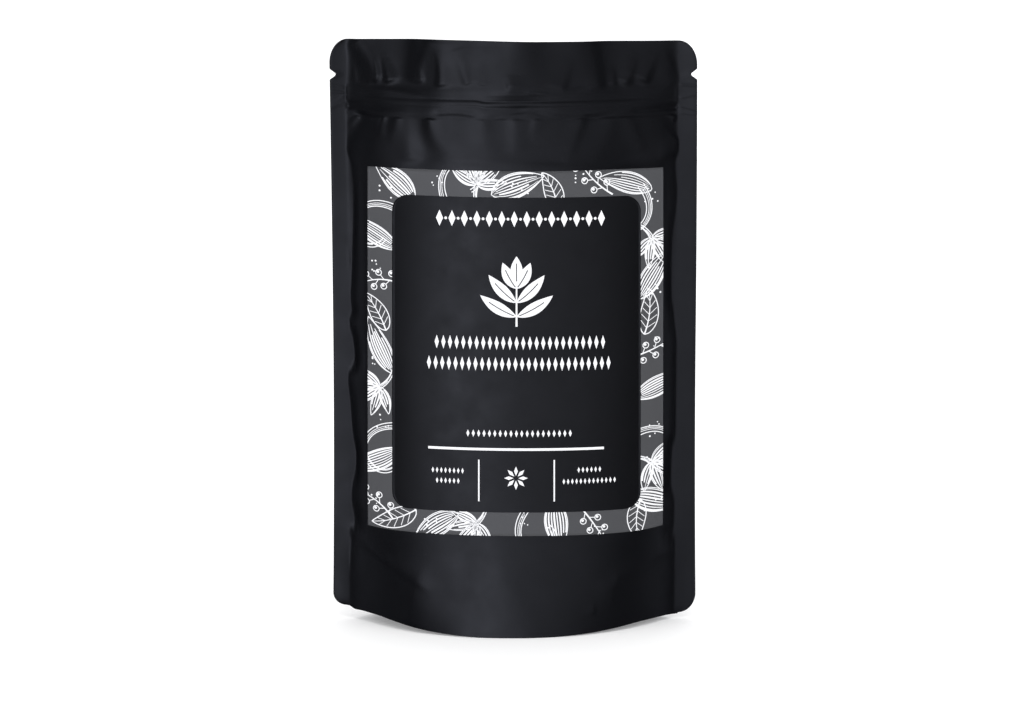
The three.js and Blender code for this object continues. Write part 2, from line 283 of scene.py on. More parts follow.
# The folds of the front film alone: pleats that run down from the zip's strip, and creases
# beside the feet and below the label.
FRONT_FOLDS = [
    Fold((-55, 183.3), (-57.8, 180), (0.3, 0.05), (1.1, 1.2), bow=-0.2),
    Fold((-45.5, 184.4), (-46.8, 179.2), (0.55, 0.25), (1.1, 1.9), bow=-0.4, taper=0.6, blunt=1.7),
    Fold((-40.8, 185.2), (-42.2, 177.5), (0.6, 0.15), (1.8, 3), taper=0.6, blunt=2),
    Fold((-37.6, 185), (-35.5, 171), (0.2, 0.6), (4, 3.7), taper=0.8, blunt=2.5),
    Fold((-29.4, 184.8), (-23.7, 172.5), (0.65, 0.1), (3.1, 3.9), bow=-1.6, taper=0.6, blunt=2),
    Fold((-10.5, 185), (-10.7, 170), (0.35, 0), (4.6, 4), taper=0.7, blunt=2),
    Fold((1.4, 185), (1.4, 174.7), (0.46, 0.3), (3.1, 4.4), blunt=2.3),
    Fold((8.8, 184.8), (7.5, 176), (0.46, 0), (1.8, 2.9), bow=-0.5, blunt=2),
    Fold((24.1, 184.5), (18.9, 171.3), (0.46, 0.15), (4.1, 2.4), taper=0.8, blunt=2.5),
    Fold((34.4, 184.4), (29.2, 171), (0.25, 0.1), (3.5, 3.3), bow=0.9, blunt=2.5),
    Fold((39.8, 185.3), (44.8, 173.2), (0.25, 0.15), (2.9, 2.3), blunt=2),
    Fold((50.5, 185.2), (56.8, 183), (0, 0.65), (1.2, 1.2), bow=1.1),
    Fold((59, 173.2), (53.5, 168.4), (1.4, 0.3), (3.2, 1.2), bow=-0.4, taper=1.6, blunt=1),
    Fold((-57.6, 32.6), (-46, 25.4), (0.55, 0.4), (2.6, 1.8), blunt=2),
    Fold((-48.5, 27), (-35, 19.5), (0.35, 0.42), (1.7, 4.8), taper=0.8, blunt=4.5),
    Fold((-34, 17), (-36.8, 4), (0.4, 0.6), (2.6, 7), blunt=3),
    Fold((59, 28.6), (38.2, 19.4), (0.6, 0.4), (3.4, 2.6), blunt=2.5),
    Fold((36, 17), (34.5, 8), (0.5, 0.1), (5, 2), blunt=2),
    Fold((28.2, 11.5), (28.5, 8), (0.05, 0.2), (2, 1)),
    Fold((-7, 27), (6, 2), (0.1, 0.2), (6, 5), blunt=4),
    Fold((-59.2, 133.8), (-58.6, 131.6), (0.3, 0.3), (0.5, 0.7)),
]

# Along the zip's strip, also of the front film alone: its wavy lower edge, and the hollows
# beside the welds.
STRIP_FOLDS = [
    Fold((-58, 187.2), (-42, 187.8), (-0.65, -0.12), (1.3, 1.8), bow=0.2, blunt=4.3),
    Fold((-25.6, 186.1), (-14.7, 185.8), (-0.32, -0.34), (0.9, 1.4), bow=0.4, blunt=2.4),
    Fold((-9.2, 184.4), (1.8, 186.8), (0, -0.24), (0.9, 1.4), bow=0.2, taper=0.8, blunt=3.2),
    Fold((9.6, 186), (21, 184.1), (-0.24, -0.08), (1, 1.3), blunt=3.2),
    Fold((26.8, 184.3), (36, 186.1), (-0.24, -0.05), (0.8, 1.3), bow=-0.6, blunt=2),
    Fold((44, 186), (57.5, 186.6), (-0.3, -0.7), (1, 1.3), taper=0.9, blunt=2),
    Fold((-50.2, 193.5), (-34.6, 192), (0.25, 0.25), (0.9, 1.3), bow=0.2, blunt=3.5),
    Fold((-8, 192.6), (57, 192.4), (0.08, 0.01), (0.9, 0.5), blunt=3),
    Fold((6, 193.4), (11, 193.1), (0.12, 0.12), (0.7, 0.5), blunt=1.2),
]

# In the side welds, where the zip's ends are crushed flat.
WELD_FOLDS = [
    Fold((-65, 195), (-58.8, 193.6), (0.1, 0.14), (0.5, 0.4)),
    Fold((-65, 192.4), (-58.8, 191.9), (0.1, 0.16), (0.5, 0.4)),
    Fold((-63.5, 188), (-58.8, 191), (0.1, 0.16), (0.5, 0.4)),
    Fold((-65, 186.4), (-60, 188.4), (0.14, 0.1), (0.5, 0.5)),
    Fold((58.2, 194.8), (65, 194.4), (0.14, 0.12), (0.5, 0.4)),
    Fold((58.2, 190), (65, 191.6), (0.16, 0.08), (0.5, 0.4)),
    Fold((58.2, 186.6), (65, 184.8), (0.18, 0.14), (0.5, 0.4)),
    Fold((58.2, 184.9), (65, 184), (0.12, 0.08), (0.4, 0.5)),
]

BACK_SEED = 7
BACK_PLEATS = 12
BACK_PUCKERS = (172, 148, 121, 92, 66, 47)  # heights, each shifted a little


def back_folds():
    """Pleats below the zip, puckers along the sides and creases at the feet, by a seeded rule."""
    rng = np.random.default_rng(BACK_SEED)
    table = []
    for i in range(BACK_PLEATS):
        x = mix(-52, 52, (i + 0.5) / BACK_PLEATS) + rng.uniform(-3, 3)
        end = (x * 0.94 + rng.uniform(-3, 3), 184 - rng.uniform(6, 17))
        steep, gentle = rng.uniform(0.9, 1.8), rng.uniform(2.4, 4.5)
        widths = (steep, gentle) if x < 0 else (gentle, steep)
        table.append(Fold((x, 185), end, (rng.uniform(0.3, 0.8), 0.15), widths, blunt=2))
    for side in (-1, 1):
        for height in BACK_PUCKERS:
            z = height + rng.uniform(-6, 6)
            start, end = (side * 58.8, z), (side * 52, z + rng.uniform(-6, 6))
            table.append(Fold(start, end, (rng.uniform(0.3, 0.7), 0.1), (1.2, 2.2)))
        table.append(Fold((side * 58.5, 31), (side * 35, 18.5), (0.5, 0.8), (2.6, 2.0), blunt=1.6))
    return table


BACK_FOLDS = back_folds()


def waves(x, z, seed, count, shortest, longest):
    """A slow unevenness of about one millimetre either way: a sum of seeded sine waves."""
    rng = np.random.default_rng(seed)
    total = 0 * x * z
    for _ in range(count):
        length = rng.uniform(shortest, longest)
        angle = rng.uniform(0, math.pi)
        phase = rng.uniform(0, 2 * math.pi)
        total += np.sin((x * math.cos(angle) + z * math.sin(angle)) * 2 * math.pi / length + phase)
    return total / math.sqrt(count)


def step_at(height, reach, z):
    """A smooth step from zero to one, between two distances from a height."""
    return ease(height + reach[0], height + reach[1], z)


def zip_relief(x, z):
    """The zip's flat strip, and on it the bead between two grooves, clearest in the middle."""
    strip = step_at(ZIP_BOTTOM, STRIP_RISE, z) * (1 - step_at(ZIP_TOP, STRIP_FALL, z))
    s = z - BEAD_HEIGHT + BEAD_STEP * np.tanh((x - BEAD_STEP_AT) / BEAD_STEP_WIDTH)
    bead = BEAD_PROUD * np.clip(1 - (s / BEAD_HALF) ** 2, 0, 1)
    for way, depth in zip((-1, 1), GROOVE_DEPTH):
        groove = way * (BEAD_HALF + GROOVE_OFFSET)
        bead = bead - depth * np.exp(-(((s - groove) / GROOVE_HALF) ** 2))
    return ZIP_STRIP * strip + bead * mix(BEAD_ENDS, 1, np.exp(-((x / BEAD_REACH) ** 2)))


def label_cover(x, z, clear=0.8, reach=3.0):
    """One where the label holds the film flat, and zero away from it."""
    low, high = LABEL["left"] - clear, LABEL["right"] + clear
    inside_x = ease(low - reach, low, x) * (1 - ease(high, high + reach, x))
    low, high = LABEL["bottom"] - clear, LABEL["top"] + clear
    inside_z = ease(low - reach, low, z) * (1 - ease(high, high + reach, z))
    return inside_x * inside_z


# ---- The two film panels ----

def across(x):
    """Zero on the centre line and one at the welds."""
    return np.clip(np.abs(x - CENTRE) / HALF, 0, 1)


def flat_beside_weld(x, z):
    """How far the front film's belly is drawn in from the welds."""
    beside = ease(*FLAT_REACH, across(x))
    return beside * np.where(x < CENTRE, flat_left(z), flat_right(z))


def crown_at(x, z, drawn_in=0):
    """One on the centre line and zero at the welds, which the film leaves softly."""
    u = np.clip(across(x) + drawn_in / HALF, 0, 1)
    share = roundness_at(z)
    leave = 1 - np.exp(-((1 - u) * HALF + FOOT_START * foot(z)) / weld_blend(z))
    return (1 - share * u**2 - (1 - share) * u**SIDE_POWER) * leave


def bow_shape(x):
    """A shallow arch from weld to weld, which it leaves softly."""
    u = across(x)
    return (1 - u**2) * (1 - np.exp(-(1 - u) * HALF))


def middle_sheet(x, z):
    """How far the sheet midway between the panels is bent out of the XZ plane."""
    forward = bow_at(z) * bow_shape(x) + folded(x, z, SHEET_FOLDS)
    return -forward * (1 - across(x) ** HELD_POWER)


def half_depth(x, z, side):
    """Half the pouch's depth to the front (side -1) or back (side 1) panel."""
    u = across(x)
    crown = crown_at(x, z, flat_beside_weld(x, z) if side < 0 else 0)
    below_zip = 1 - step_at(ZIP_BOTTOM, FOLD_END, z)
    pressed = np.minimum(1, FOLD_RISE * (1 - u) * HALF)
    table = FRONT_FOLDS if side < 0 else BACK_FOLDS
    slow = SLOW_HEIGHT * waves(x, z, SLOW_SEED[side], *SLOW_WAVES) * np.minimum(1, 3 * crown)
    relief = (folded(x, z, table) * pressed + slow) * below_zip
    strip = zip_relief(x, z)
    if side < 0:
        relief = relief * (1 - label_cover(x, z))
        strip = strip + folded(x, z, STRIP_FOLDS)
    strip = strip * ease(0, STRIP_END, 1 - u)
    return FILM + np.maximum(belly_at(z) * crown + relief, 0) + strip


def panel_y(x, z, side):
    return middle_sheet(x, z) + side * half_depth(x, z, side)


def label_y(x, z):
    """The film under the label, which holds it free of folds."""
    return middle_sheet(x, z) - FILM - belly_at(z) * crown_at(x, z)


# ---- The outline, seen from the front ----

def rim_height(x):
    return np.where(x < 0, rim_left(-x), rim_right(x))


def top_height(x):
    """The top edge, which the two top arcs already begin to round."""
    rx, rz = TOP_CORNER
    into_arc = np.clip((np.abs(x) - TOP_EDGE[-1][0]) / rx, 0, 1)
    return top_edge(x) - rz * rounded(into_arc)


def side_edge(z, side):
    """The cut edge's distance from the middle: nearly straight, rounded at its ends, notched."""
    base, waist, top = HALF_WIDTH[side]
    middle = HEIGHT / 2
    end = np.where(z < middle, base, top)
    edge = waist + (end - waist) * ((z - middle) / middle) ** 2
    rx, rz = TOP_CORNER
    highest = TOP_EDGE[0 if side < 0 else -1][1]
    edge = edge - rx * rounded(np.clip((z - (highest - rz)) / rz, 0, 1))
    rx, rz = BASE_CORNER[side]
    lowest = RIM[side][-1][1]
    edge = edge - rx * rounded(np.clip((lowest + rz - z) / rz, 0, 1))
    notch = np.clip(NOTCH_BLUNT * (1 - np.abs(z - NOTCH_HEIGHT) / NOTCH_HALF_MOUTH), 0, 1)
    return edge - NOTCH_DEPTH * notch


# ---- Mesh helpers ----

def new_object(name, vertices, faces, material, smooth=True):
    mesh = bpy.data.meshes.new(name)
    mesh.from_pydata((np.asarray(vertices, float) * MM).tolist(), [], faces)
    mesh.validate()
    mesh.polygons.foreach_set("use_smooth", [smooth] * len(mesh.polygons))
    mesh.materials.append(material)
    obj = bpy.data.objects.new(name, mesh)
    bpy.context.scene.collection.objects.link(obj)
    return obj


def grid_faces(index, flip=False):
    """Quads over a 2-D array of vertex numbers."""
    quads = np.stack([index[:-1, :-1], index[1:, :-1], index[1:, 1:], index[:-1, 1:]], axis=-1)
    quads = quads.reshape(-1, 4)
    return (quads[:, ::-1] if flip else quads).tolist()


def edge_faces(one, other, flip=False):
    """Quads between two lines of vertex numbers."""
    return grid_faces(np.stack([one, other]), flip)


class Points:
    """Collects blocks of vertices and returns their numbers."""

    def __init__(self):
        self.blocks = []
        self.count = 0

    def add(self, x, y, z):
        x, y, z = np.broadcast_arrays(x, y, z)
        self.blocks.append(np.stack([x.ravel(), y.ravel(), z.ravel()], axis=1))
        numbers = np.arange(self.count, self.count + x.size).reshape(x.shape)
        self.count += x.size
        return numbers

    def all(self):
        return np.concatenate(self.blocks)


# ---- Pouch ----

BODY_COLUMNS, COLUMN_CROWDING = 300, 0.35  # columns of quads, closer together at the welds
WELD_COLUMNS = (0, 0.07, 0.2, 0.4, 0.6, 0.8, 0.93)  # as shares of the way in from the cut edge
WELD_LEAST = 0.3  # a weld is at least this wide, also at its rounded corners

# The film's rows between its rounded corners, as (height, spacing up to it): closest where
# the zip and its pleats are.
ROW_BANDS = [(36, 0.9), (160, 2.0), (172, 0.7), (183.4, 0.45), (195.6, 0.28), (202.7, 0.45)]
CORNER_ROWS = (13, 24)  # at the base and at the top
RIM_REACH, TOP_REACH = 40, 200  # rows follow the rim below one height, the top above the other
CUT_REACH = 0.02  # this close to the top edge's cut, the films have come together

SKIRT_ROWS, GUSSET_ROWS = 11, 21


def body_columns():
    t = np.linspace(-1, 1, BODY_COLUMNS + 1)
    return CENTRE + HALF * mix(t, np.sin(t * math.pi / 2), COLUMN_CROWDING)


def film_rows():
    """Row heights, from the rim's corners to the top edge's."""
    at_base, at_top = CORNER_ROWS
    bands = [BASE_CORNER[-1][1] * (1 - np.cos(np.linspace(0, math.pi / 2, at_base)))]
    for high, spacing in ROW_BANDS:
        low = bands[-1][-1]
        bands.append(np.linspace(low, high, round((high - low) / spacing) + 1)[1:])
    top = HEIGHT - TOP_CORNER[1] * (1 - np.cos(np.linspace(math.pi / 2, 0, at_top)))
    return np.concatenate([*bands, top[1:]])


def row_heights(x, rows):
    """Each column's heights run from the rim to the top edge."""
    low = rim_height(x) * np.clip(1 - rows / RIM_REACH, 0, 1)
    high = (top_height(x) - HEIGHT) * np.clip((rows - TOP_REACH) / (HEIGHT - TOP_REACH), 0, 1)
    return rows + low + high


def thin_to_edge(depth, rows):
    """The films come together at the top edge's cut."""
    return np.where(rows >= HEIGHT - CUT_REACH, np.minimum(depth, FILM_EDGE), depth)


def weld_columns(points, rows, side):
    """A side weld: its front and back vertex numbers, from the cut edge inwards."""
    inner = WELD_LEFT if side < 0 else WELD_RIGHT
    steps = np.array(WELD_COLUMNS)[:, None]
    z = row_heights(np.array([[inner]]), rows[None, :])
    outer = side * np.maximum(side_edge(z, side), side * inner + WELD_LEAST)
    x = mix(outer, inner, steps)
    z = np.broadcast_to(z, x.shape)
    thickness = np.where(steps == 0, FILM_EDGE, FILM)
    thickness = thin_to_edge(np.broadcast_to(thickness, x.shape), rows[None, :])
    bend = (bend_left if side < 0 else bend_right)(z) * (1 - steps) ** BEND_POWER
    turned = FOOT_LEAN[side] * (1 - steps) + FOOT_BEND[side] * (1 - steps**2)
    forward = bend + folded(x, z, WELD_FOLDS) - foot(z) * turned
    front = points.add(x, -forward - thickness, z)
    back = points.add(x, thickness - forward, z)
    return front, back


def gusset_height(share, profile):
    """A height that rises from the middle to the sides by a power."""
    middle, side, power = profile
    return mix(middle, side, share**power)


def gusset_loop(points, columns, front_rim, back_rim):
    """The open underside: the skirt's inner walls and the gusset film sagging between them."""
    x = columns[None, :]
    share = (np.abs(x) / HALF).clip(0, 1)
    seam = gusset_height(share, GUSSET_SEAM)
    valley = gusset_height(share, GUSSET_VALLEY)
    up = np.linspace(0, 1, SKIRT_ROWS)[:, None]

    def inner(z, side):
        return side * np.maximum(side * panel_y(x, z, side) - SKIRT, SKIRT_GAP)

    walls = {}
    for side in (-1, 1):
        z = mix(rim_height(x), seam, up)
        walls[side] = points.add(x, inner(z, side), z)
    t = np.linspace(-1, 1, GUSSET_ROWS)[1:-1, None]
    y = mix(inner(seam, -1), inner(seam, 1), (t + 1) / 2)
    sag = 1 - t * t
    crease = CREASE_HEIGHT * np.exp(-((t / CREASE_HALF) ** 2))
    ripple = RIPPLE_HEIGHT * waves(x + 0 * t, y, RIPPLE_SEED, *RIPPLE_WAVES) * sag
    z = seam + (valley - seam) * sag + (crease + ripple) * (1 - share)
    roof = points.add(x, y, np.maximum(z, GUSSET_CLEAR))
    return np.concatenate([front_rim[None, :], walls[-1], roof, walls[1][::-1], back_rim[None, :]])


def end_cap(loop_column):
    """Closes the thin slit where the gusset meets a side weld."""
    ring = list(loop_column)
    faces = []
    while len(ring) >= 4:
        faces.append([ring[0], ring[1], ring[-2], ring[-1]])
        ring = ring[1:-1]
    if len(ring) == 3:
        faces.append(ring)
    return faces


def build_pouch(material):
    """Both films with their welds, the cut edges between them, and the open underside."""
    points = Points()
    columns, rows = body_columns(), film_rows()
    x = columns[:, None]
    z = row_heights(x, rows[None, :])
    sheets = {}
    for side in (-1, 1):
        depth = thin_to_edge(half_depth(x, z, side), rows[None, :])
        sheets[side] = points.add(x, middle_sheet(x, z) + side * depth, z)
    left_front, left_back = weld_columns(points, rows, -1)
    right_front, right_back = weld_columns(points, rows, 1)
    front = np.concatenate([left_front, sheets[-1], right_front[::-1]])
    back = np.concatenate([left_back, sheets[1], right_back[::-1]])
    faces = grid_faces(front, flip=True) + grid_faces(back)
    faces += edge_faces(front[0], back[0], flip=True) + edge_faces(front[-1], back[-1])
    faces += edge_faces(front[:, -1], back[:, -1])
    welded = len(WELD_COLUMNS)
    for part in (slice(0, welded + 1), slice(-welded - 1, None)):
        faces += edge_faces(front[part, 0], back[part, 0], flip=True)
    loop = gusset_loop(points, columns, sheets[-1][:, 0], sheets[1][:, 0])
    faces += grid_faces(loop, flip=True)
    faces += end_cap(loop[:, 0]) + [face[::-1] for face in end_cap(loop[:, -1])]
    return new_object("pouch_film", points.all(), faces, material)


# ---- Label ----

LABEL_GRID = (106, 100)  # points across and up
PANEL_GRID = (90, 80)
PANEL_CORNER_ROWS = 10


def label_place(x, z, lift):
    """A point of the flat label, laid on the belly."""
    middle = (LABEL["bottom"] + LABEL["top"]) / 2
    spread = x * (1 + LABEL_SPREAD * (z - middle))
    z = z + LABEL_TURN * x
    return spread, label_y(spread, z) - lift, z


def sheet_object(name, x, z, front, back, material):
    """A closed thin sheet over a grid of label points."""
    points = Points()
    face = points.add(*label_place(x, z, front))
    rear = points.add(*label_place(x, z, back))
    faces = grid_faces(face, flip=True) + grid_faces(rear)
    faces += edge_faces(face[0], rear[0], flip=True) + edge_faces(face[-1], rear[-1])
    faces += edge_faces(face[:, 0], rear[:, 0]) + edge_faces(face[:, -1], rear[:, -1], flip=True)
    return new_object(name, points.all(), faces, material)


def build_label(material):
    across_it, up_it = LABEL_GRID
    x = np.linspace(LABEL["left"], LABEL["right"], across_it)[:, None]
    z = np.linspace(LABEL["bottom"], LABEL["top"], up_it)[None, :]
    x, z = np.broadcast_arrays(x, z)
    return sheet_object("label_sheet", x, z, LABEL_FACE, LABEL_BACK, material)


def build_panel(material):
    """The dark panel with rounded corners, printed in the middle of the label."""
    corner = PANEL["corner"]
    low, high = PANEL["bottom"], PANEL["top"]
    across_it, up_it = PANEL_GRID
    arc = corner * (1 - np.cos(np.linspace(0, math.pi / 2, PANEL_CORNER_ROWS)))
    straight = np.linspace(low + corner, high - corner, up_it)[1:-1]
    z = np.concatenate([low + arc, straight, (high - arc)[::-1]])
    into = np.clip(np.maximum(low + corner - z, z - high + corner) / corner, 0, 1)
    inset = corner * rounded(into)
    s = np.linspace(0, 1, across_it)[:, None]
    x = mix(PANEL["left"] + inset, PANEL["right"] - inset, s)
    z = np.broadcast_to(z, x.shape)
    return sheet_object("label_panel", x, z, PANEL_LIFT, PANEL_LIFT - PANEL_INK, material)


# ---- Print ----

SCRAP = 1e-4  # a clipped shape smaller than this is dropped
RING_SIDES = 16
RULE_STEPS = 24  # so that a long rule follows the label's curve

# Widths of the lines that the border is drawn with.
PETAL_LINE, LEAF_LINE, STEM_LINE = 0.3, 0.36, 0.34
STALK_LINE, BERRY_LINE, FINE_LINE = 0.28, 0.32, 0.22


def beside(line, distance):
    """A line's points, each moved to the left of the line by its distance."""
    run = np.gradient(line, axis=0)
    run /= np.maximum(np.linalg.norm(run, axis=1), 1e-9)[:, None]
    return line + np.stack([-run[:, 1], run[:, 0]], axis=1) * distance[:, None]


def arc_line(base, angle, length, bend, count):
    """A line that starts at base, heads along angle and turns by bend, all in radians."""
    t = np.linspace(0, 1, count)
    heading = angle + bend * t
    step = length / (count - 1)
    x = base[0] + np.concatenate([[0], np.cumsum(np.cos(heading[:-1]) * step)])
    z = base[1] + np.concatenate([[0], np.cumsum(np.sin(heading[:-1]) * step)])
    return np.stack([x, z], axis=1)


def area(outline):
    x, z = np.array(outline).T
    return abs(np.dot(x, np.roll(z, 1)) - np.dot(z, np.roll(x, 1))) / 2


# The label's edges, as (axis, place, the way in).
LABEL_EDGES = [
    (0, LABEL["left"], 1), (0, LABEL["right"], -1), (1, LABEL["bottom"], 1), (1, LABEL["top"], -1),
]


def clip(outline):
    """Cuts a polygon at the label's edges."""
    for axis, limit, keep in LABEL_EDGES:
        kept = []
        for here, there in zip(outline, outline[1:] + outline[:1]):
            a = keep * (here[axis] - limit)
            b = keep * (there[axis] - limit)
            if a >= 0:
                kept.append(here)
            if a * b < 0:
                t = a / (a - b)
                kept.append((mix(here[0], there[0], t), mix(here[1], there[1], t)))
        outline = kept
        if not outline:
            break
    return outline


class Print:
    """Flat printed shapes, kept as polygons in the label's plane until they are laid on it."""

    def __init__(self, lift):
        self.lift = lift
        self.shapes = []

    def polygon(self, outline):
        self.shapes.append([tuple(p) for p in outline])

    def between(self, left, right):
        """Quads between two lines of points."""
        for i in range(len(left) - 1):
            self.polygon([left[i], left[i + 1], right[i + 1], right[i]])

    def ribbon(self, line, widths):
        """A band along a line of points, with one width or a width at each point."""
        line = np.asarray(line, float)
        half = np.broadcast_to(widths, len(line)) / 2
        self.between(beside(line, half), beside(line, -half))

    def disc(self, centre, radius, sides):
        turn = np.linspace(0, 2 * math.pi, sides, endpoint=False)
        rim = [centre[0] + radius * np.cos(turn), centre[1] + radius * np.sin(turn)]
        self.polygon(np.stack(rim, axis=1))

    def ring(self, centre, radius, width):
        turn = np.linspace(0, 2 * math.pi, RING_SIDES + 1)
        spokes = np.stack([np.cos(turn), np.sin(turn)], axis=1)
        self.between(centre + spokes * radius, centre + spokes * (radius - width))

    def build(self, name, material):
        """One object of all the shapes, clipped and laid on the label."""
        vertices, faces = [], []
        for outline in map(clip, self.shapes):
            if len(outline) < 3 or area(outline) < SCRAP:
                continue
            x, z = np.array(outline).T
            first = len(vertices)
            vertices += np.stack(label_place(x, z, self.lift), axis=1).tolist()
            faces.append(list(range(first, first + len(outline))))
        return new_object(name, vertices, faces, material, smooth=False)


# ---- The border's drawing ----

def engraved_leaf(ink, rng, base, angle, length, width, bend, lines=8):
    """A leaf or petal with an outline, shaded with uneven strokes from its base to its tip."""
    spine = arc_line(base, angle, length, bend, 24)
    t = np.linspace(0, 1, len(spine))
    half = width / 2 * np.sin(math.pi * t**0.8) ** 0.85
    for i in range(lines):
        share = (2 * i + 1) / lines - 1
        run = slice(rng.integers(0, 4), rng.integers(15, 24))
        thick = 2 * half[run] / lines * rng.uniform(0.3, 0.7)
        ink.ribbon(beside(spine, half * share)[run], thick)
    for way in (-1, 1):
        ink.ribbon(beside(spine, way * half), PETAL_LINE)


def open_leaf(ink, base, angle, length, width, bend):
    """A leaf drawn with its outline, a midrib and slanting veins."""
    spine = arc_line(base, angle, length, bend, 22)
    t = np.linspace(0, 1, len(spine))
    half = width / 2 * np.sin(math.pi * t**0.75) ** 0.8
    ink.ribbon(spine, np.linspace(0.5, 0.2, len(spine)))
    for way in (-1, 1):
        ink.ribbon(beside(spine, way * half), LEAF_LINE)
        tips = beside(spine, way * half * 0.85)
        for i in range(3, 17, 3):
            ink.ribbon(np.linspace(spine[i], tips[i + 3], 4), FINE_LINE)


def tendril(ink, base, angle, length, bend, width=2.3):
    """A hollow stem that curls more and more tightly, with two shading lines in it."""
    t = np.linspace(0, 1, 44)
    heading = angle + bend * t**1.5
    steps = np.stack([np.cos(heading), np.sin(heading)], axis=1) * length / len(t)
    spine = np.array(base) + np.cumsum(steps, axis=0)
    half = width / 2 * (1 - 0.55 * t)
    for way in (-1, 1):
        ink.ribbon(beside(spine, way * half), STEM_LINE)
    for share, last in ((0.45, 38), (-0.1, 20)):
        ink.ribbon(beside(spine, half * share)[2:last], FINE_LINE)


def blossom(ink, rng, base, angle, size):
    """Five petals spread out from one point, with a short stalk."""
    for i in range(-2, 3):
        reach = size * (1 - 0.09 * abs(i))
        engraved_leaf(ink, rng, base, angle + 0.72 * i, reach, size * 0.3, -0.2 * i, 4)
    tendril(ink, base, angle + math.pi, size * 0.7, 0.8, 1.3)


def berries(ink, base, angle, length, bend, count, radius):
    """A twig with round berries on short stalks."""
    stem = arc_line(base, angle, length, bend, 20)
    ink.ribbon(stem, np.linspace(0.6, 0.3, len(stem)))
    heading = angle + bend * np.linspace(0, 1, len(stem))
    for i in range(count):
        at = int((i + 1) / count * (len(stem) - 1))
        way = 1 if i % 2 else -1
        stalk = arc_line(stem[at], heading[at] + way * 0.9, radius * 1.6, 0, 4)
        ink.ribbon(stalk, STALK_LINE)
        toward = stalk[-1] - stalk[0]
        centre = stalk[-1] + toward / np.linalg.norm(toward) * radius
        ink.ring(centre, radius, BERRY_LINE)
        ink.disc(centre + radius * np.array([-0.2, 0.2]), radius * 0.42, 10)


def dots(ink, rng, centre):
    for _ in range(6):
        place = (centre[0] + rng.uniform(-3, 3), centre[1] + rng.uniform(-3, 3))
        ink.disc(place, rng.uniform(0.2, 0.38), 8)


BORDER_SEED = 21
BORDER_PITCH = 13.5
TENDRIL_CURL = 4.6


def border_path():
    """Places along the middle of the label's border, each with the direction out of the panel."""
    left = (LABEL["left"] + PANEL["left"]) / 2
    right = (LABEL["right"] + PANEL["right"]) / 2
    low = (LABEL["bottom"] + PANEL["bottom"]) / 2
    high = (LABEL["top"] + PANEL["top"]) / 2
    corners = [(left, high), (right, high), (right, low), (left, low)]
    outward = [math.pi / 2, 0, -math.pi / 2, math.pi]
    for i, start in enumerate(corners):
        end = corners[(i + 1) % 4]
        count = round(math.dist(start, end) / BORDER_PITCH)
        for k in range(count):
            t = (k + 0.5) / count
            yield (mix(start[0], end[0], t), mix(start[1], end[1], t)), outward[i]


def border_art(ink):
    """Leaves, blossoms, tendrils and berries scattered round the border, by a seeded rule."""
    rng = np.random.default_rng(BORDER_SEED)
    for i, (place, outward) in enumerate(border_path()):
        heading = outward + rng.uniform(-1.25, 1.25)
        back = 8 + rng.uniform(-1.5, 1.5)
        base = (place[0] - back * math.cos(heading), place[1] - back * math.sin(heading))
        bend = rng.uniform(-0.8, 0.8)
        kind = i % 6
        if kind in (0, 3):
            engraved_leaf(ink, rng, base, heading, rng.uniform(18, 24), rng.uniform(6.5, 9), bend)
        elif kind == 1:
            tendril(ink, base, heading, rng.uniform(32, 40), math.copysign(TENDRIL_CURL, bend))
        elif kind == 2:
            blossom(ink, rng, place, heading, rng.uniform(11, 14))
        elif kind == 4:
            open_leaf(ink, base, heading, rng.uniform(14, 18), rng.uniform(5.5, 7), bend)
        else:
            berries(ink, base, heading, rng.uniform(12, 15), bend, 6, 1.2)
        if i % 2:
            dots(ink, rng, (place[0] + rng.uniform(-4, 4), place[1] + rng.uniform(-4, 4)))


# ---- The panel's print ----

# Rows of lozenges, as (pitch, width, height).
TITLE = (4.4, 2.5, 5.6)
LARGE = (2.35, 1.5, 4.9)
MEDIUM = (1.9, 1.1, 2.6)
SMALL = (1.5, 0.9, 2.1)
TITLE_DOT = 0.5

# The emblem's pairs of leaves, as (height, angle, length), and the leaf at its tip. Lengths,
# heights and LEAF_WIDTH are shares of the emblem's size.
LEAF_PAIRS = [(0.14, 1.2, 0.6), (0.34, 0.95, 0.56), (0.54, 0.65, 0.42)]
TIP_HEIGHT, TIP_LENGTH = 0.62, 0.38
LEAF_WIDTH, LEAF_BEND = 0.17, 0.35
LEAF_CUT, STEM_WIDTHS = 0.3, (0.7, 0.5)

# A rosette's petals start, are widest, and have half this width, as shares of its radius.
PETAL_START, PETAL_MIDDLE, PETAL_HALF = 0.2, 0.6, 0.16


def row_places(centre, length, pitch):
    count = round(length / pitch)
    return [centre[0] + (i - (count - 1) / 2) * pitch for i in range(count)]


def lozenge(ink, centre, width, height):
    x, z = centre
    ink.polygon([(x - width / 2, z), (x, z - height / 2), (x + width / 2, z), (x, z + height / 2)])


def grain_row(ink, centre, length, sizes):
    """A row of upright lozenges, the same plain ornament across the label."""
    pitch, width, height = sizes
    for x in row_places(centre, length, pitch):
        lozenge(ink, (x, centre[1]), width, height)


def title_row(ink, centre, length, sizes):
    """Tall lozenges with a dot between each two."""
    pitch, width, height = sizes
    places = row_places(centre, length, pitch)
    for x in places:
        lozenge(ink, (x, centre[1]), width, height)
        if x < places[-1]:
            ink.disc((x + pitch / 2, centre[1]), TITLE_DOT, 12)


def rule(ink, start, end, width):
    ink.ribbon(np.linspace(start, end, RULE_STEPS), width)


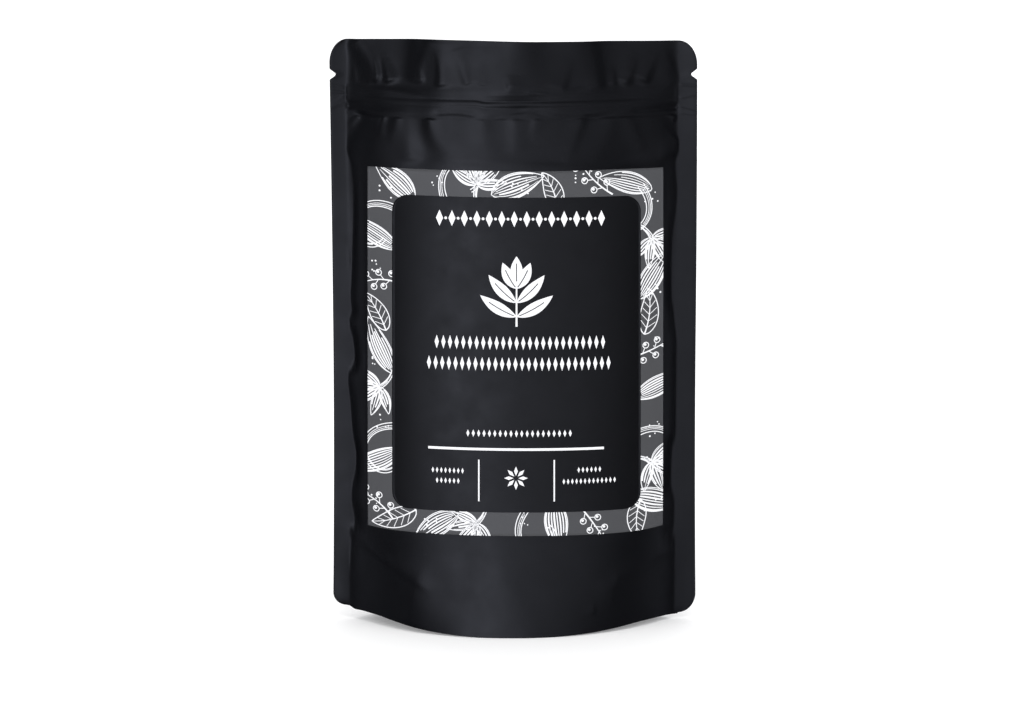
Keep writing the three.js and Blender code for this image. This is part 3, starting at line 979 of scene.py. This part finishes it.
def plain_leaf(ink, cut, base, angle, length, width, bend):
    """A filled leaf with a cut midrib."""
    spine = arc_line(base, angle, length, bend, 16)
    t = np.linspace(0, 1, len(spine))
    half = width / 2 * np.sin(math.pi * t**0.9) ** 0.9
    ink.between(beside(spine, half), beside(spine, -half))
    cut.ribbon(spine[1:-4], LEAF_CUT)


def emblem(ink, cut, centre, size):
    """An upright sprig of plain leaves, in pairs up its stem and one at its tip."""
    x, z = centre
    low = z - size / 2
    tip = low + size * TIP_HEIGHT
    width = size * LEAF_WIDTH
    ink.ribbon([(x, low), (x, tip)], STEM_WIDTHS)
    for height, spread, length in LEAF_PAIRS:
        base = (x, low + size * height)
        for way in (-1, 1):
            angle, bend = UP - way * spread, way * LEAF_BEND
            plain_leaf(ink, cut, base, angle, size * length, width, bend)
    plain_leaf(ink, cut, (x, tip), UP, size * TIP_LENGTH, width, 0)


def rosette(ink, centre, radius, petals=8):
    """Narrow petals round a point."""
    for i in range(petals):
        turn = 2 * math.pi * i / petals
        out = np.array([math.cos(turn), math.sin(turn)]) * radius
        side = np.array([-out[1], out[0]]) * PETAL_HALF
        middle = centre + out * PETAL_MIDDLE
        ink.polygon([centre + out * PETAL_START, middle + side, centre + out, middle - side])


def panel_print(ink, cut):
    """Plain ornaments in rows, an emblem, and three small fields below a rule."""
    title_row(ink, (2.6, 149.5), 61, TITLE)
    emblem(ink, cut, (1.2, 123.9), 25)
    grain_row(ink, (2.4, 105.5), 61, LARGE)
    grain_row(ink, (2.0, 98.0), 65, LARGE)
    grain_row(ink, (2.1, 73.2), 38, MEDIUM)
    rule(ink, (-30, 67.5), (32.1, 67.5), 0.9)
    for x in (-12.1, 14.5):
        rule(ink, (x, 48.7), (x, 63.7), 0.5)
    grain_row(ink, (-23.1, 59.5), 12, SMALL)
    grain_row(ink, (-23.1, 55.8), 9, SMALL)
    grain_row(ink, (26.9, 59.9), 9, SMALL)
    grain_row(ink, (26.9, 55.8), 20, SMALL)
    rosette(ink, (1.0, 57.2), 4.2)


# ---- Materials ----

NOISE_SPAN = (0.3, 0.7)  # where most of a noise's values lie


def shader_inputs(material):
    return material.node_tree.nodes["Principled BSDF"].inputs


def set_values(sockets, values):
    for name, value in values.items():
        sockets[name].default_value = value


def plain_material(name, colour, roughness, specular=0.5):
    material = bpy.data.materials.new(name)
    material.use_nodes = True
    looks = {"Base Color": (*colour, 1), "Roughness": roughness, "Specular IOR Level": specular}
    set_values(shader_inputs(material), looks)
    return material


def add_noise(material, scale, detail):
    """Noise in the object's own space."""
    nodes, links = material.node_tree.nodes, material.node_tree.links
    place = nodes.new("ShaderNodeTexCoord")
    noise = nodes.new("ShaderNodeTexNoise")
    set_values(noise.inputs, {"Scale": scale, "Detail": detail})
    links.new(place.outputs["Object"], noise.inputs["Vector"])
    return noise.outputs["Fac"]


def vary_roughness(material, noise, low, high):
    """Spreads a noise over a range of roughness."""
    nodes, links = material.node_tree.nodes, material.node_tree.links
    spread = nodes.new("ShaderNodeMapRange")
    set_values(spread.inputs, {"From Min": NOISE_SPAN[0], "From Max": NOISE_SPAN[1]})
    set_values(spread.inputs, {"To Min": low, "To Max": high})
    links.new(noise, spread.inputs["Value"])
    links.new(spread.outputs["Result"], shader_inputs(material)["Roughness"])


def add_bump(material, height, strength, distance, normal=None):
    """A bump of a distance in metres, on top of another where one is given."""
    nodes, links = material.node_tree.nodes, material.node_tree.links
    bump = nodes.new("ShaderNodeBump")
    set_values(bump.inputs, {"Strength": strength, "Distance": distance})
    links.new(height, bump.inputs["Height"])
    if normal is not None:
        links.new(normal, bump.inputs["Normal"])
    return bump.outputs["Normal"]


def film_material():
    """Soft-touch black laminate: dark, satin, with a fine grain and slight cloudiness."""
    material = plain_material("matte_film", (0.0027, 0.003, 0.0048), 0.46)
    vary_roughness(material, add_noise(material, 90, 3), 0.43, 0.5)
    grain = add_noise(material, 2600, 2)
    cloud = add_noise(material, 260, 2)
    normal = add_bump(material, grain, 0.25, 0.00003)
    normal = add_bump(material, cloud, 0.3, 0.00008, normal)
    material.node_tree.links.new(normal, shader_inputs(material)["Normal"])
    return material


def print_material(name, colour, roughness):
    """Ink on matte paper, with the paper's faint tooth."""
    material = plain_material(name, colour, roughness, 0.45)
    vary_roughness(material, add_noise(material, 120, 3), roughness - 0.04, roughness + 0.04)
    tooth = add_noise(material, 3200, 3)
    normal = add_bump(material, tooth, 0.2, 0.00002)
    material.node_tree.links.new(normal, shader_inputs(material)["Normal"])
    return material


# ---- Stage, light and camera ----

# The stage and the lamps are in metres.
STAGE_HALF_WIDTH, STAGE_FRONT, STAGE_BACK, STAGE_TOP, STAGE_RADIUS = 3.0, -2.5, 1.6, 3.0, 0.8
STAGE_DROP = 0.0001  # the floor lies this much below the pouch
STAGE_GLOW = 0.2

COOL = (0.91, 0.95, 1.13)
LAMP_AIM = Vector((0, 0, 0.11))


def build_stage():
    """A pale floor that curves up into a pale wall."""
    turn = np.linspace(0, math.pi / 2, 24)
    wall = STAGE_BACK + STAGE_RADIUS
    y = np.concatenate([[STAGE_FRONT], STAGE_BACK + STAGE_RADIUS * np.sin(turn), [wall]])
    z = np.concatenate([[0], STAGE_RADIUS * (1 - np.cos(turn)), [STAGE_TOP]]) - STAGE_DROP
    x = np.array([-STAGE_HALF_WIDTH, STAGE_HALF_WIDTH])[:, None]
    points = Points()
    grid = points.add(x / MM, y[None, :] / MM, z[None, :] / MM)
    paper = plain_material("stage_paper", (0.86, 0.86, 0.86), 0.9, 0.1)
    glow = {"Emission Color": (1, 1, 1, 1), "Emission Strength": STAGE_GLOW}
    set_values(shader_inputs(paper), glow)
    floor = new_object("stage_floor", points.all(), grid_faces(grid), paper)
    floor.visible_glossy = False
    floor.visible_shadow = False


def area_light(name, azimuth, elevation, distance, size, radiance, colour=(1, 1, 1), glossy=True):
    """A rectangular lamp that faces the pouch. Azimuth 0 is in front, and 90 is on the right."""
    light = bpy.data.lights.new(name, "AREA")
    light.shape = "RECTANGLE"
    light.size, light.size_y = size
    light.energy = radiance * math.pi * size[0] * size[1]
    light.color = colour
    lamp = bpy.data.objects.new(name, light)
    turn, rise = math.radians(azimuth), math.radians(elevation)
    level = math.cos(rise)
    away = Vector((math.sin(turn) * level, -math.cos(turn) * level, math.sin(rise)))
    lamp.location = LAMP_AIM + away * distance
    lamp.rotation_euler = away.to_track_quat("Z", "Y").to_euler()
    lamp.visible_glossy = glossy
    bpy.context.scene.collection.objects.link(lamp)


def build_lights():
    """A tall strip in front and one behind, weaker fills all round, and one lamp overhead."""
    area_light("front_strip", -15, -2, 2.0, (0.28, 1.35), 6.6, COOL)
    area_light("near_fill", 12, -2, 2.0, (0.28, 1.35), 1.0, COOL)
    area_light("front_fill", 26, 0, 2.0, (0.7, 1.6), 0.38, COOL)
    area_light("left_fill", -100, 0, 2.0, (1.0, 1.8), 0.25, COOL)
    area_light("right_fill", 100, 0, 2.0, (1.0, 1.8), 0.28, COOL)
    area_light("back_strip", 160, -2, 2.0, (0.4, 1.35), 5.0, COOL)
    area_light("overhead", 0, 88, 1.8, (2.0, 2.0), 0.9, glossy=False)


def build_world():
    """Even white light from all round, which doesn't show in reflections."""
    world = bpy.data.worlds.new("studio")
    world.use_nodes = True
    background = world.node_tree.nodes["Background"].inputs
    set_values(background, {"Color": (1, 1, 1, 1), "Strength": 1.0})
    world.cycles_visibility.glossy = False
    bpy.context.scene.world = world
    bpy.context.scene.view_settings.view_transform = "Standard"


CAMERA_ELEVATION = 11  # degrees
CAMERA_DISTANCE = 1200
CAMERA_TARGET = (-0.4, 0, 97.28)
CAMERA_LENS, CAMERA_SENSOR = 117.68, 36


def build_camera():
    camera = bpy.data.cameras.new("camera")
    camera.lens = CAMERA_LENS
    camera.sensor_width = CAMERA_SENSOR
    camera.clip_start = 0.05
    obj = bpy.data.objects.new("camera", camera)
    tilt = math.radians(CAMERA_ELEVATION)
    target = Vector(CAMERA_TARGET) * MM
    obj.location = target + Vector((0, -math.cos(tilt), math.sin(tilt))) * CAMERA_DISTANCE * MM
    obj.rotation_euler = (math.pi / 2 - tilt, 0, 0)
    bpy.context.scene.collection.objects.link(obj)
    bpy.context.scene.camera = obj


# ---- Putting it together ----

def dress(obj, slot, *nodes):
    """Puts a piece on the only body and hides the imported nodes that it stands for. slot is not
    used.
    """
    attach(obj, "root")
    if nodes:
        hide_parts(*nodes)


build_camera()
build_stage()
build_lights()
build_world()

film = film_material()
grey_ink = print_material("label_grey", (0.066, 0.067, 0.071), 0.55)
black_ink = print_material("label_black", (0.0034, 0.0036, 0.005), 0.47)
white_ink = print_material("label_white", (0.85, 0.85, 0.85), 0.55)

dress(build_pouch(film), "film", "pouch")
dress(build_label(grey_ink), "label", "label")

art = Print(ART_LIFT)
border_art(art)
dress(art.build("label_art", white_ink), "label")
dress(build_panel(black_ink), "label")

ink, cut = Print(PRINT_LIFT), Print(CUT_LIFT)
panel_print(ink, cut)
dress(ink.build("label_print", white_ink), "label")
dress(cut.build("label_print_lines", black_ink), "label")
